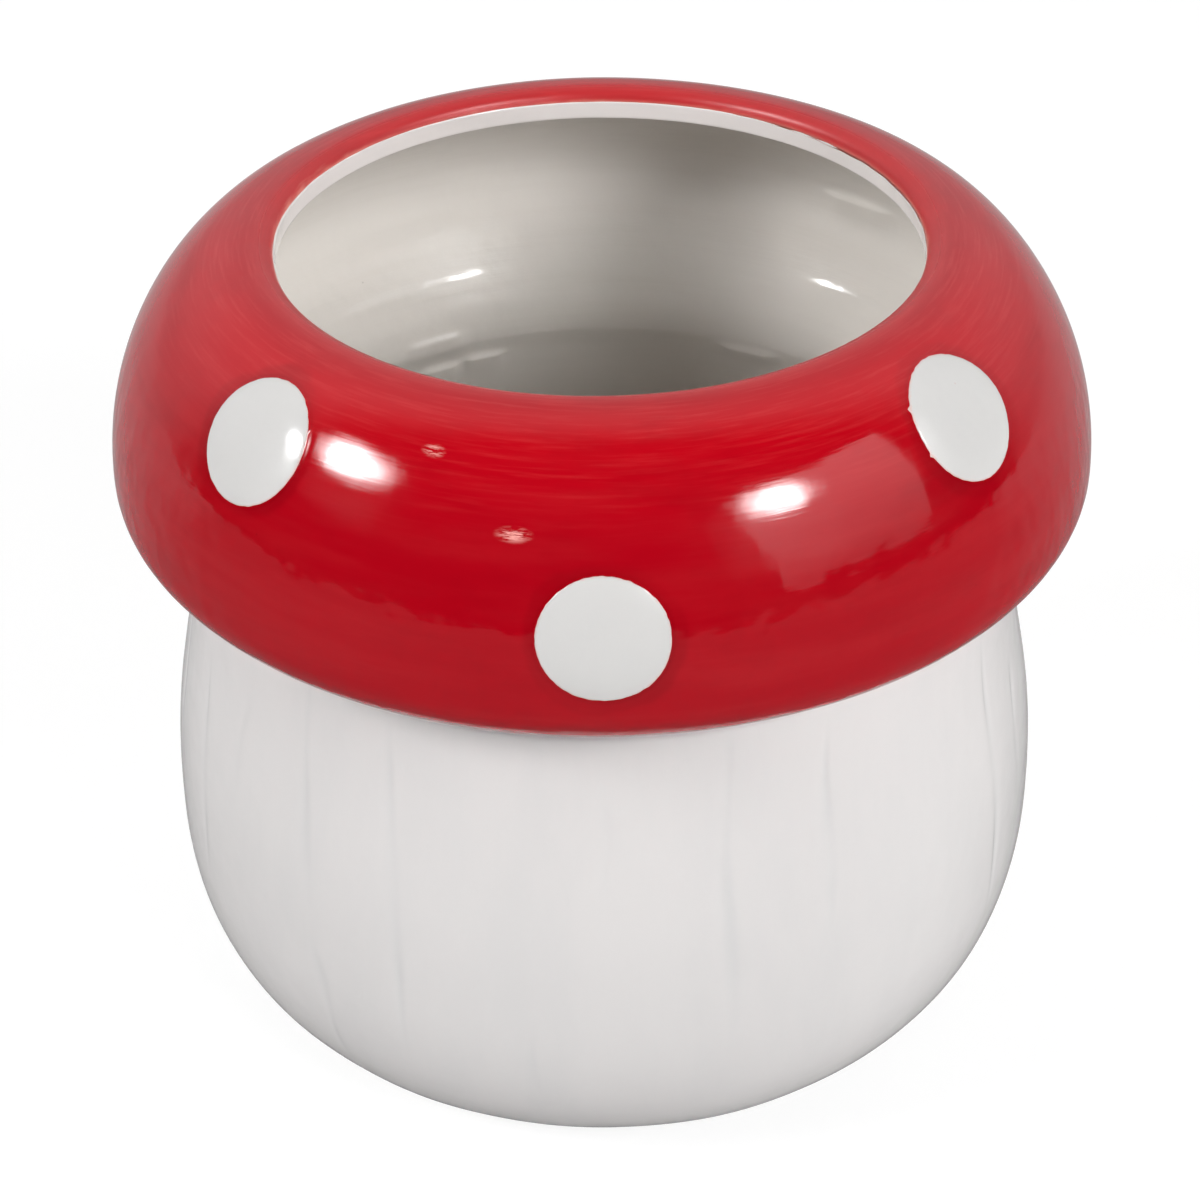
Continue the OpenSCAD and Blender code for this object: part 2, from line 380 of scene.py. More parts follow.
def dome(radius):
    """How far a spot's face stands out of the cap's face around it."""
    share = np.minimum(np.asarray(radius, float) / SPOT_R, 1)
    return EDGE_RISE + DOME_RISE * (1 - share ** DOME_POWER)


def seat(radius):
    """The cap's face under and around a spot, with the shallow seat that the enamel fills."""
    inside = dome(radius) - ENAMEL - SEAT_DEPTH * (1 - ease(SEAT_R, SEAT_R + SEAT_EDGE_W, radius))
    outside = -GUTTER * hump(radius, SPOT_R + GUTTER_AT, GUTTER_W)
    join = ease(SPOT_R - JOIN_IN, SPOT_R + JOIN_OUT, radius)
    return inside * (1 - join) + outside * join


def pooled_and_shaded(radius, angle, seed):
    """Glaze that gathers around a spot, and painted shade there, out to an uneven edge."""
    slow, quick = wander(seed + 60, angle, 0, 6, 1), wander(seed + 80, angle, 0, 24, 1, 14)
    reach = POOL_SHADE_REACH + POOL_SHADE_SLOW * slow + POOL_SHADE_QUICK * quick
    much = POOL_SHADE_SHARE + POOL_SHADE_VARIES * wander(seed + 70, angle, 0, 3, 1)
    # a line of painted shade, with glaze pooling, right at the spot's edge
    line = POOL_SHADE_LINE * hump(radius, SPOT_R + POOL_SHADE_LINE_AT, POOL_SHADE_LINE_W)
    return line + much * (1 - ease(reach - POOL_SHADE_SOFT[0], reach + POOL_SHADE_SOFT[1], radius - SPOT_R))


def build_red_glaze():
    turns = 2 * math.pi * np.arange(CAP_COLUMNS) / CAP_COLUMNS
    face_ways = np.r_[np.linspace(0, LIP_LENGTH, LIP_ROWS, endpoint=False),
                      np.linspace(LIP_LENGTH, CAP_FACE.length, CAP_ROWS - LIP_ROWS)]
    back_ways = back_along(CAP_CLAY.length, CAP_BACK_ROWS)
    face = cap_face(turns[None], face_ways[:, None])
    # the painted edge at the mouth isn't quite level
    waver = RED_EDGE_SLOW * wander(21, turns, 0, 16, 60) + RED_EDGE_QUICK * wander(22, turns, 0, 60, 60, 16)
    near_edge = (1 - ease(0, RED_EDGE_RUN, face_ways))[:, None]
    face[..., 2] += (waver[None] - RED_OVERLAP) * near_edge
    face -= RED_STEP * near_edge[..., None] * around(turns, 1.0, 0.0)
    r, z, _, _ = CAP_CLAY.at(back_ways)
    back = around(turns[None], r[:, None], z[:, None])
    corners = [np.concatenate([face, back]).reshape(-1, 3)]
    all_ways = np.r_[face_ways, back_ways]
    lay = [lay_of(turns[None], all_ways[:, None], CAP_R).reshape(-1, 3)]
    pool_and_shade = [np.repeat(hump(all_ways, CAP_FACE.length, FOOT_POOL_W), CAP_COLUMNS)]
    faces = grid_faces(len(all_ways), CAP_COLUMNS, True)
    keep = np.ones(faces.shape[:2], bool)
    extra, total, step = [], len(corners[0]), turns[1] - turns[0]
    for turn, share, seed, tall in SPOTS.values():
        place = SpotPlace(turn, share)
        r = CAP_FACE.at(place.way)[0]
        left = round((place.turn - PATCH_REACH / r) / step)
        right = round((place.turn + PATCH_REACH / r) / step)
        top = np.searchsorted(face_ways, place.way - PATCH_REACH)
        foot = np.searchsorted(face_ways, place.way + PATCH_REACH)
        keep[top:foot, np.arange(left, right) % CAP_COLUMNS] = False
        across, down = right - left, foot - top
        # once round the cut: along its foot, up its right side, back along its top, down its left side
        column = np.r_[left + np.arange(across), np.full(down, right),
                       right - np.arange(across), np.full(down, left)]
        row = np.r_[np.full(across, foot), foot - np.arange(down), np.full(across, top), top + np.arange(down)]
        angle = np.r_[-0.75 + 0.5 * np.arange(across) / across, -0.25 + 0.5 * np.arange(down) / down,
                      0.25 + 0.5 * np.arange(across) / across, 0.75 + 0.5 * np.arange(down) / down] * math.pi
        edge_turn, edge_way = column * step, face_ways[row]
        border = row * CAP_COLUMNS + column % CAP_COLUMNS
        count = 2 * len(border)

        def doubled(v, whole=0.0):
            following = np.roll(v, -1)
            following[-1] += whole
            return np.stack([v, (v + following) / 2], -1).ravel()

        # glaze: how much glaze pools and how much painted shade lies at each corner of the ring
        def add_ring(ring_turn, ring_way, rise, glaze):
            corners.append(cap_face(ring_turn, ring_way) + rise * place.out)
            lay.append(lay_of(ring_turn, ring_way, CAP_R))
            pool_and_shade.append(glaze)

        fine_turn, fine_way = doubled(edge_turn), doubled(edge_way)
        fine_angle = doubled(angle, 2 * math.pi)
        x, y = np.cos(fine_angle), np.sin(fine_angle)
        rim_turn, rim_way = place.below(PATCH_R * x, PATCH_R * tall * y)
        for share_in in PATCH_SHARES:
            t = fine_turn + (rim_turn - fine_turn) * share_in
            w = fine_way + (rim_way - fine_way) * share_in
            around_spot = pooled_and_shaded(PATCH_R + (1 - share_in) * PATCH_MARGIN, fine_angle, seed)
            add_ring(t, w, 0.0, around_spot + hump(w, CAP_FACE.length, FOOT_POOL_W))
        for radius in PATCH_RADII:
            add_ring(*place.below(radius * x, radius * tall * y), seat(radius), pooled_and_shaded(radius, fine_angle, seed))
        add_ring(*place.below(np.zeros(1), np.zeros(1)), seat(0.0), np.zeros(1))
        i = np.arange(len(border))
        a, b = border, np.roll(border, -1)
        c0, c1, c2 = total + 2 * i, total + 2 * i + 1, total + (2 * i + 2) % count
        extra.append(np.concatenate([np.stack(f, -1) for f in ((a, c1, c0), (a, b, c1), (b, c2, c1))]))
        starts = total + count * np.arange(len(PATCH_SHARES) + len(PATCH_RADII))
        extra += [strip(first, first + count, count) for first in starts[:-1]]
        extra.append(fan(starts[-1], starts[-1] + count, count))
        total = starts[-1] + count + 1
    corners = np.concatenate(corners)
    values = {"lay": np.concatenate(lay), "pool_and_shade": np.concatenate(pool_and_shade)}
    return make_piece("red_glaze_coat", corners, [faces[keep]] + extra, values)


# The white enamel tops of the spots

SPOT_SEGMENTS = 300
EDGE_SLOW, EDGE_QUICK = 0.07, 0.09
EDGE_ROUND_W = 0.3
SEAT_GAP = 0.01
LAY_APART = 40
TOP_SHARES = [1.0, 0.9985, 0.995, 0.989, 0.98, 0.965, 0.94, 0.9, 0.82, 0.7, 0.5, 0.25]
UNDER_RADII = [4.0, 8.0, SEAT_R - 0.05, SEAT_R + 0.1, SEAT_R + 0.2, SEAT_R + SEAT_EDGE_W]
# Nubs on the right spot's edge: place in radians, how far out in millimetres, reach in radians
RIGHT_SPOT_NUBS = [(math.radians(150), 0.45, 0.04), (math.radians(193), 0.45, 0.03)]


def build_spot(name):
    turn, share, seed, tall = SPOTS[name]
    place = SpotPlace(turn, share)
    angle = 2 * math.pi * np.arange(SPOT_SEGMENTS) / SPOT_SEGMENTS
    slow, quick = wander(seed, angle, 0, 5, 1), wander(seed + 40, angle, 0, 50, 1, 24)
    edge = SPOT_R + EDGE_SLOW * slow + EDGE_QUICK * quick
    if name == "right_spot":
        for middle, size, reach in RIGHT_SPOT_NUBS:
            edge += size * hump(angle, middle, reach)

    def ring(radius, height):
        return place.above(radius * np.cos(angle), radius * tall * np.sin(angle), height)

    corners = []
    for s in TOP_SHARES:
        radius = edge * s
        out = np.clip((radius - (edge - EDGE_ROUND_W)) / EDGE_ROUND_W, 0, 1)
        # the enamel's rounded edge comes down on to the glaze around it
        round_off = np.sqrt(np.maximum(1 - out ** 2, 0))
        base = seat(radius) + SEAT_GAP
        corners.append(ring(radius, base + (dome(np.minimum(radius, SPOT_R - NEAR)) - base) * round_off))
    rows, under_rows = len(TOP_SHARES), len(UNDER_RADII)
    for radius in UNDER_RADII:
        corners.append(ring(radius, np.full(SPOT_SEGMENTS, seat(radius) + SEAT_GAP)))
    nought = np.zeros(1)
    top_middle = place.above(nought, nought, np.full(1, dome(0.0)))
    under_middle = place.above(nought, nought, np.full(1, seat(0.0) + SEAT_GAP))
    n = SPOT_SEGMENTS
    first_under, last, middle = rows * n, (rows + under_rows - 1) * n, (rows + under_rows) * n
    faces = [strip(row * n, (row + 1) * n, n) for row in range(rows - 1)]
    faces.append(fan(first_under - n, middle, n))
    faces += [strip(row * n, (row + 1) * n, n) for row in range(rows, rows + under_rows - 1)]
    faces += [strip(last, 0, n), fan(first_under, middle + 1, n)[:, [1, 0, 2]]]
    corners = np.concatenate(corners + [top_middle, under_middle])
    gap = corners - place.middle
    x, y = gap @ place.across, gap @ place.up
    lay = np.stack([x + LAY_APART * seed, y, 0 * x], -1)
    rim = np.hypot(x, y / tall) / SPOT_R
    return make_piece(name + "_top", corners, faces, {"lay": lay, "rim": rim})


# The stem's white glaze, with the streaks pressed into it

STEM_FACE = Outline(np.vstack([[(NECK_R, JOINT_Z)], stem_line(0)]))
STEM_CLAY = Outline(np.vstack([[(NECK_R - GLAZE, JOINT_Z)], stem_line(GLAZE)]))
STEM_COLUMNS = 900
STEM_ROWS = 78
STEM_BACK_ROWS = 8

# Each streak: turn at its middle in degrees, top and foot heights in millimetres, lean in degrees, strength
STREAKS = [(-65, 81, 41, 2.0, 0.6), (-55, 83, 66, -1.5, 0.5), (-41, 94, 52, 1.5, 1.0), (-38, 45, 20, 2.5, 0.7),
           (-27, 92, 30, 2.0, 1.0), (-9, 42, 15, -1.5, 0.5), (0, 84, 66, 1.0, 0.35), (15.5, 94, 35, -1.0, 1.0),
           (29, 90, 54, -2.0, 0.9), (61, 85, 35, -2.0, 0.9), (71, 75, 55, -1.5, 0.6), (88, 90, 44, -2.0, 0.9),
           (103, 60, 26, 1.5, 0.7), (121, 93, 33, -1.5, 1.0), (134, 46, 19, 2.0, 0.7), (152, 92, 56, 1.0, 0.8),
           (169, 88, 30, -1.5, 1.0), (-174, 93, 62, 1.0, 0.7), (-158, 52, 21, -2.0, 0.7), (-141, 93, 37, 1.5, 1.0),
           (-126, 84, 52, 1.0, 0.6), (-108, 91, 33, -1.5, 1.0), (-92, 47, 22, 2.0, 0.7), (-79, 88, 58, 1.0, 0.7)]
STREAK_DEPTH = 0.2
STREAK_HALF_W = 0.95
STREAK_TOP, STREAK_FOOT, STREAK_PAST = (-0.08, 0.2), (0.72, 1.08), 0.2
STREAK_MOST = 1.2
STREAK_CROWD_REACH, STREAK_CROWD_TIMES = 0.05, 1.6

# Along a streak: its bow in degrees, its strength, its unevenness, and how quickly bow, strength and width change
STREAK_BOW, STREAK_MEAN, STREAK_UNEVEN = 0.5, 0.75, 0.35
BOW_PACE, STRENGTH_PACE, WIDTH_PACE = 5, 9, 7

FACET_DEPTH = 0.16
STEM_WAVE = 0.06
STEM_TOP_CALM = 4
FOOT_ROUND, FOOT_ROUND_W = 0.3, 0.9


def turn_gap(turn, other):
    return (turn - other + math.pi) % (2 * math.pi) - math.pi


def streak_mask(turn, z):
    """How deep the pressed streaks are at a place, 1 at the middle of a strong one."""
    total = 0
    for middle, top, foot, lean, strength in STREAKS:
        share = np.clip((top - z) / (top - foot), -STREAK_PAST, 1 + STREAK_PAST)
        bow = STREAK_BOW * np.sin(share * BOW_PACE + middle)
        across = turn_gap(turn, np.radians(middle + lean * (share - 0.5) + bow)) * BELLY_R
        ends = ease(*STREAK_TOP, share) * (1 - ease(*STREAK_FOOT, share))
        uneven = STREAK_MEAN + STREAK_UNEVEN * np.sin(share * STRENGTH_PACE + middle * 3)
        width = STREAK_HALF_W * (1 + STREAK_UNEVEN * np.sin(share * WIDTH_PACE + middle))
        total = total + strength * ends * uneven * hump(across, 0, width)
    return np.minimum(total, STREAK_MOST)


def build_stem_glaze():
    crowds = [(math.radians(s[0]), STREAK_CROWD_REACH, STREAK_CROWD_TIMES) for s in STREAKS]
    turns = spaced(-math.pi, math.pi, STEM_COLUMNS, crowds, last=False)
    ways = np.linspace(0, STEM_FACE.length, STEM_ROWS)
    r, z, nr, nz = [v[:, None] for v in STEM_FACE.at(ways)]
    streaks = streak_mask(turns[None], z)
    # soft flats between the streaks, where the clay was smoothed by hand
    flats = -FACET_DEPTH * (0.5 + 0.5 * wander(31, turns[None], ways[:, None], 17, 140, 12))
    waves = STEM_WAVE * wander(32, turns[None], ways[:, None], 9, 50) - STEM_WAVE
    ends = ease(0, STEM_TOP_CALM, ways)[:, None]
    foot = ease(0, FOOT_ROUND_W, STEM_FACE.length - ways)[:, None]
    sink = (flats + waves - STREAK_DEPTH * streaks) * ends - FOOT_ROUND * (1 - foot)
    face = around(turns[None], r + sink * nr, z + sink * nz)
    back_ways = back_along(STEM_CLAY.length, STEM_BACK_ROWS)
    r, z, _, _ = STEM_CLAY.at(back_ways)
    back = around(turns[None], r[:, None], z[:, None])
    corners = np.concatenate([face, back]).reshape(-1, 3)
    lay = lay_of(turns[None], np.r_[ways, back_ways][:, None], BELLY_R).reshape(-1, 3)
    # the streaks' mask, also used to paint shade in them
    pressed = np.concatenate([streaks * ends, np.zeros(back.shape[:2])]).ravel()
    faces = grid_faces(STEM_ROWS + STEM_BACK_ROWS, STEM_COLUMNS, True).reshape(-1, 4)
    return make_piece("stem_glaze_coat", corners, [faces], {"lay": lay, "pressed": pressed})


# The glaze inside

INNER_COLUMNS = 380
INNER_ROWS = 230
INNER_BACK_ROWS = 26

# Each ring left inside by the slip: its height, how far it stands out, half its width, and the turns it spans
INNER_RINGS = [(103.9, 0.13, 1.0, (-166, -134)), (105.6, 0.24, 1.0, (128, 146)), (103.3, 0.14, 0.6, (151, 158)),
               (88.2, 0.9, 0.8, (-163, -156)), (87.6, 0.85, 0.8, (-155, -148)), (94.4, 0.72, 0.8, (-156, -145)),
               (90.4, 0.8, 0.7, (149, 159)), (122.3, 0.85, 0.75, (134, 145)), (84.0, 0.1, 1.2, (-150, -60)),
               (112.0, 0.08, 1.2, (-120, 40))]
RING_RUN = 5.0
RING_FADE = (0.6, 1.25)
RING_BOW = 0.5
INNER_SLOW, INNER_QUICK = 0.16, 0.05
CALM_AT_BAND, CALM_AT_MIDDLE = (5.5, 12), (-30, -5)
MIDDLE_GAP = 0.6

# The white band at the mouth: its top edge by radius and height from the mouth's, and the bend at its foot
BAND_TOP = [(0.3, -0.1), (0.08, -0.2), (0.0, -0.45)]
BAND_BEND, BEND_STEPS = 0.45, 12
BAND_FOOT_RISE = 0.3
BAND_FADE = (4.5, 5.3)

# Where rows lie closer inside, by place, reach and times: at each ring, at the band's edges and at the joint
RING_CROWD_REACH, RING_CROWD_TIMES = 1.8, 4.0
BAND_CROWDS = [(1.0, 2.0, 8.0), (4.5, 1.5, 8.0)]
JOINT_CROWD = (12.0, 1.0)

# Slip fills the corner at the cap's widest place, from this height down to this far under the joint
FILL_TOP_Z = 127.0
FILL_FOOT = 3.0
FILL_INWARD = 0.7
FILL_TOP_PULL, FILL_FOOT_PULL = 14.0, (-1.2, 10.0)
FILL_RUN = 0.35
FILL_BLEND, FILL_CREASE = 0.2, 0.01
FILL_BLEND_TOP, FILL_BLEND_FOOT = (106, 118), (70, 85)
FILL_STEPS = 200


def joint_ridge(z):
    """The ridge of slip that the joint leaves inside."""
    away = np.clip((z - JOINT_Z - RIDGE_H) / RIDGE_H, -1, 1)
    return RIDGE_RISE * np.cos(math.pi / 2 * away) ** 2


def inside_line(depth):
    """The inside from the cap's top down to the floor, with the joint's ridge and the corner that slip fills."""
    bare = Outline(np.vstack([cap_line(depth), stem_line(depth)]))
    line = bare.points - (joint_ridge(bare.points[:, 1]) * (bare.points[:, 1] < WIDE_Z))[:, None] * bare.normals
    start = np.argmax(line[:, 1] <= FILL_TOP_Z)
    ahead = line[start + 1] - line[start - 1]
    ahead /= np.hypot(*ahead)
    foot = np.array([NECK_R - depth - FILL_INWARD, JOINT_Z - FILL_FOOT])
    fill = curve([line[start], line[start] + FILL_TOP_PULL * ahead, foot + FILL_FOOT_PULL, foot],
                 np.linspace(0, 1, FILL_STEPS))
    r, z = line.T
    filled = np.interp(-z, -fill[:, 1], fill[:, 0], left=np.inf) + FILL_RUN * np.maximum(foot[1] - z, 0)
    # the slip runs softly into the wall and the ridge below
    soft = FILL_CREASE + FILL_BLEND * (1 - ease(*FILL_BLEND_TOP, z)) * ease(*FILL_BLEND_FOOT, z)
    return np.stack([-soft * np.logaddexp(-r / soft, -filled / soft), z], -1)


def build_inner_glaze():
    depth = WALL + INNER_GLAZE
    corner = np.linspace(0, math.pi / 2, BEND_STEPS)
    top = np.array([MOUTH_R, MOUTH_Z]) + BAND_TOP
    turned_in = np.stack([MOUTH_R + BAND_BEND * (1 - np.cos(corner)),
                          BAND_FOOT_Z + BAND_FOOT_RISE + BAND_BEND * (1 - np.sin(corner))], -1)
    line = Outline(np.vstack([top, turned_in, inside_line(depth), [(0.0, FLOOR_Z + INNER_GLAZE)]]))
    rings = [(line.way_at_height(z), half) for z, _, half, _ in INNER_RINGS]
    crowds = [(way, half * RING_CROWD_REACH, RING_CROWD_TIMES / half) for way, half in rings]
    crowds += [*BAND_CROWDS, (line.way_at_height(JOINT_Z + RIDGE_H), *JOINT_CROWD)]
    ways = spaced(0, line.length - MIDDLE_GAP, INNER_ROWS, crowds)
    turns = 2 * math.pi * np.arange(INNER_COLUMNS) / INNER_COLUMNS
    r, z, nr, nz = [v[:, None] for v in line.at(ways)]
    swell = 0
    for height, size, half, span in INNER_RINGS:
        middle, reach = math.radians(sum(span) / 2), math.radians((span[1] - span[0]) / 2)
        window = 1 - ease(*RING_FADE, np.abs(turn_gap(turns[None], middle)) / reach)
        bowed = height + RING_BOW * wander(53, turns[None], 0, 4, 60)
        # a ring is steep above and runs out softly below
        swell = swell + size * window * hump(z, bowed, np.where(z > bowed, half, half * RING_RUN))
    inside = ease(*CALM_AT_BAND, ways)[:, None]
    slow = wander(51, turns[None], ways[:, None], 6, 60)
    quick = wander(52, turns[None], ways[:, None], 15, 22, 14)
    waves = INNER_SLOW * slow + INNER_QUICK * quick
    lift = (swell + waves * (1 - ease(*CALM_AT_MIDDLE, -r))) * inside
    face = around(turns[None], r - lift * nr, z - lift * nz)
    behind_band = [(MOUTH_R + INNER_GLAZE, top[0, 1]), (MOUTH_R + INNER_GLAZE, BAND_FOOT_Z + INNER_GLAZE)]
    back_line = Outline(np.vstack([behind_band, cap_line(WALL), stem_line(WALL), [(0.0, FLOOR_Z)]]))
    back_ways = back_along(back_line.length - MIDDLE_GAP, INNER_BACK_ROWS)
    br, bz, bnr, bnz = back_line.at(back_ways)
    back_swell = joint_ridge(bz) * (br > MOUTH_R) * (bz < WIDE_Z)
    br, bz = br - back_swell * bnr, bz - back_swell * bnz
    back = around(turns[None], br[:, None], bz[:, None])
    poles = np.array([[0, 0, FLOOR_Z + INNER_GLAZE], [0, 0, FLOOR_Z]])
    corners = np.concatenate([face.reshape(-1, 3), back.reshape(-1, 3), poles])
    n = INNER_COLUMNS
    first_back, last_back = INNER_ROWS * n, (INNER_ROWS + INNER_BACK_ROWS - 1) * n
    front = grid_faces(INNER_ROWS, n, False).reshape(-1, 4)[:, ::-1]
    behind = grid_faces(INNER_BACK_ROWS, n, False).reshape(-1, 4)[:, ::-1] + first_back
    pole = last_back + n
    faces = [front, behind, strip(last_back, 0, n), fan(first_back - n, pole, n),
             fan(first_back, pole + 1, n)[:, [1, 0, 2]]]
    all_ways = np.r_[ways, back_ways]
    all_r = np.r_[line.at(ways)[0], br]
    lay = lay_of(turns[None], all_ways[:, None], np.maximum(all_r, 1)[:, None]).reshape(-1, 3)
    lay = np.concatenate([lay, [[0, 0, line.length], [0, 0, line.length]]])
    band = np.repeat(1 - ease(*BAND_FADE, all_ways), n)
    return make_piece("inner_glaze_coat", corners, faces, {"lay": lay, "band": np.r_[band, 0, 0]})


# Shader nodes

def put(tree, kind, links=None, **settings):
    node = tree.nodes.new("ShaderNode" + kind)
    for key, value in settings.items():
        setattr(node, key, value)
    for key, value in (links or {}).items():
        if isinstance(value, bpy.types.NodeSocket):
            tree.links.new(value, node.inputs[key])
        else:
            node.inputs[key].default_value = value
    return node


def made(tree, kind, links=None, **settings):
    return put(tree, kind, links, **settings).outputs[0]


def reckon(tree, operation, a, b, clamp=False):
    return made(tree, "Math", {0: a, 1: b}, operation=operation, use_clamp=clamp)


def add(tree, a, b):
    return reckon(tree, "ADD", a, b)


def subtract(tree, a, b, clamp=False):
    return reckon(tree, "SUBTRACT", a, b, clamp)


def multiply(tree, a, b, clamp=False):
    return reckon(tree, "MULTIPLY", a, b, clamp)


def divide(tree, a, b):
    return reckon(tree, "DIVIDE", a, b)


def stepped(tree, value, low=0.0, high=1.0, smooth=True, start=0.0, end=1.0):
    """A value that goes from start to end while another goes from low to high."""
    ends = {"From Min": low, "From Max": high, "To Min": start, "To Max": end}
    kind = "SMOOTHSTEP" if smooth else "LINEAR"
    return made(tree, "MapRange", {"Value": value, **ends}, interpolation_type=kind)


# The colour sockets of a Mix node
MIX_A, MIX_B, MIX_OUT = 6, 7, 2


def blended(tree, share, a, b):
    a, b = [v if isinstance(v, bpy.types.NodeSocket) else (*v, 1) for v in (a, b)]
    return put(tree, "Mix", {"Factor": share, MIX_A: a, MIX_B: b}, data_type="RGBA").outputs[MIX_OUT]


def tinted(tree, colour, other, mask, share, clamp=False):
    """A colour with a share of another where a mask shows."""
    return blended(tree, multiply(tree, mask, share, clamp), colour, other)


def shrunk(tree, place, size):
    """A place counted in lengths of one size."""
    return made(tree, "VectorMath", {0: place, "Scale": divide(tree, 1.0, size)}, operation="SCALE")


def stretched(tree, place, wide, tall):
    """A place counted in widths sideways and in heights along the coat."""
    x, y, z = put(tree, "SeparateXYZ", {0: place}).outputs
    parts = [divide(tree, value, size) for value, size in ((x, wide), (y, wide), (z, tall))]
    return made(tree, "CombineXYZ", dict(enumerate(parts)))


def new_group(name, output, **inputs):
    """A node group that works on a place on the coat; an input without a number is a place too."""
    tree = bpy.data.node_groups.new(name, "ShaderNodeTree")
    for key, value in {"Lay": None, **inputs}.items():
        kind = "NodeSocketVector" if value is None else "NodeSocketFloat"
        socket = tree.interface.new_socket(key.replace("_", " "), in_out="INPUT", socket_type=kind)
        if value is not None:
            socket.default_value = value
    tree.interface.new_socket(output, in_out="OUTPUT", socket_type="NodeSocketFloat")
    return tree, tree.nodes.new("NodeGroupInput").outputs, tree.nodes.new("NodeGroupOutput").inputs[0]


def build_brushed():
    """Streaks that a brush or a trickle leaves: noise drawn out along the coat."""
    tree, given, out = new_group("brushed glaze", "Mask", Around=30.0, Down=2.0, Low=0.4, High=0.7)
    place = stretched(tree, given["Lay"], given["Around"], given["Down"])
    noise = made(tree, "TexNoise", {"Vector": place, "Scale": 1.0, "Detail": 4.0, "Roughness": 0.6})
    tree.links.new(stepped(tree, noise, given["Low"], given["High"]), out)
    return tree


def build_pinholes():
    """Small round marks where gas left the glaze or dust fell on it."""
    tree, given, out = new_group("glaze pinholes", "Mask", Spacing=8.0, Size=0.3, Share=0.3)
    place = shrunk(tree, given["Lay"], given["Spacing"])
    cells = put(tree, "TexVoronoi", {"Vector": place, "Scale": 1.0}, feature="F1").outputs
    gap = multiply(tree, cells["Distance"], given["Spacing"])
    few = reckon(tree, "LESS_THAN", made(tree, "SeparateColor", {0: cells["Color"]}), given["Share"])
    dot = subtract(tree, 1.0, stepped(tree, gap, 0.0, given["Size"]))
    tree.links.new(multiply(tree, dot, few), out)
    return tree


def build_skin():
    """The faint unevenness of a fired glaze: broad waves and a fine orange peel."""
    tree, given, out = new_group("glaze skin", "Height", Wave=12.0, Peel=1.6, Peel_Share=0.15)
    heights = []
    for width, detail in (("Wave", 1.0), ("Peel", 2.0)):
        place = shrunk(tree, given["Lay"], given[width])
        heights.append(made(tree, "TexNoise", {"Vector": place, "Scale": 1.0, "Detail": detail}))
    tree.links.new(add(tree, heights[0], multiply(tree, heights[1], given["Peel Share"])), out)
    return tree


def build_dab():
    """One soft-edged place on a coat, such as a painted glint, or a lump that the brush left."""
    tree, given, out = new_group("soft dab", "Mask", Place=None, Wide=2.0, Tall=1.0)
    gap = made(tree, "VectorMath", {0: given["Lay"], 1: given["Place"]}, operation="SUBTRACT")
    place = stretched(tree, gap, given["Wide"], given["Tall"])
    away = put(tree, "VectorMath", {0: place}, operation="LENGTH").outputs["Value"]
    tree.links.new(stepped(tree, away, start=1.0, end=0.0), out)
    return tree


BRUSHED, PINHOLES, SKIN, DAB = build_brushed(), build_pinholes(), build_skin(), build_dab()


def group(tree, kind, lay, **sockets):
    links = {key.replace("_", " "): value for key, value in sockets.items()}
    return made(tree, "Group", {"Lay": lay, **links}, node_tree=kind)


def coat_value(tree, name, output="Fac"):
    return put(tree, "Attribute", attribute_type="GEOMETRY", attribute_name=name).outputs[output]


def new_material(name, colour, roughness):
    material = bpy.data.materials.new(name)
    material.use_nodes = True
    material.diffuse_color = (*colour, 1)
    inputs = material.node_tree.nodes["Principled BSDF"].inputs
    inputs["Base Color"].default_value = (*colour, 1)
    inputs["Roughness"].default_value = roughness
    inputs["IOR"].default_value = GLAZE_IOR
    return material, material.node_tree


def finished(material, colour, rough, height, distance, strength):
    """The material with its colour, its roughness and the height of its surface."""
    tree = material.node_tree
    bump = made(tree, "Bump", {"Height": height, "Strength": strength, "Distance": distance})
    for key, value in (("Base Color", colour), ("Roughness", rough), ("Normal", bump)):
        tree.links.new(value, tree.nodes["Principled BSDF"].inputs[key])
    return material


GLAZE_IOR = 1.5
RED_BODY = (0.38, 0.0012, 0.0075)
RED_UPPER = (0.5, 0.002, 0.009)
# Pale pink of the painted glints
GLINT_PINK = (0.85, 0.38, 0.34)
# Dark red where glaze pools, in streaks and pinholes, and as painted shade round the spots
RED_POOL_AND_SHADE = (0.2, 0.0008, 0.004)
# Paler red of thin glaze, and painted reflection of the white room over the lip
RED_THIN_AND_SHEEN = (0.68, 0.06, 0.06)
RED_EDGE = (0.8, 0.3, 0.24)
WHITE_GLAZE = (0.72, 0.7, 0.695)
# Grey of mottled tone, and painted shade in the stem's pressed streaks
GREY_AND_GROOVE_SHADE = (0.56, 0.57, 0.58)
SPECK = (0.3, 0.27, 0.24)
RED_SPECK = (0.55, 0.3, 0.28)
INSIDE_WHITE = (0.76, 0.725, 0.682)
INSIDE_GREY = (0.7, 0.66, 0.608)
BAND_WHITE = (0.8, 0.755, 0.74)
ENAMEL_WHITE = (0.635, 0.625, 0.615)
CLAY = (0.8, 0.76, 0.69)
SLIP = (0.76, 0.72, 0.65)
CLAY_DARK = (0.62, 0.56, 0.47)
SLIP_DARK = (0.58, 0.53, 0.45)

# Painted glints and a lump on the cap: turn in degrees, way down from the mouth, width and height in millimetres
PAINTED_GLINTS = [(-21.3, 16.8, 2.7, 1.3), (-9.9, 27.5, 3.6, 1.5)]
LUMP = (-39.2, 19.5, 0.9, 0.9)

# Where the red glaze changes, by the way down from the mouth in millimetres
UPPER_WAY, BRIGHT_WAY, PALE_LIP_WAY, ROUGH_LIP_WAY = (8.0, 34.0), (3.0, 13.0), (2.0, 7.0), (1.5, 6.5)
EDGE_WAY, DAUBED_WAY = (0.0, 1.1), (26.0, 44.0)


def coat_dab(tree, lay, turn, down, wide, tall):
    return group(tree, DAB, lay, Place=tuple(lay_of(math.radians(turn), down, CAP_R)), Wide=wide, Tall=tall)


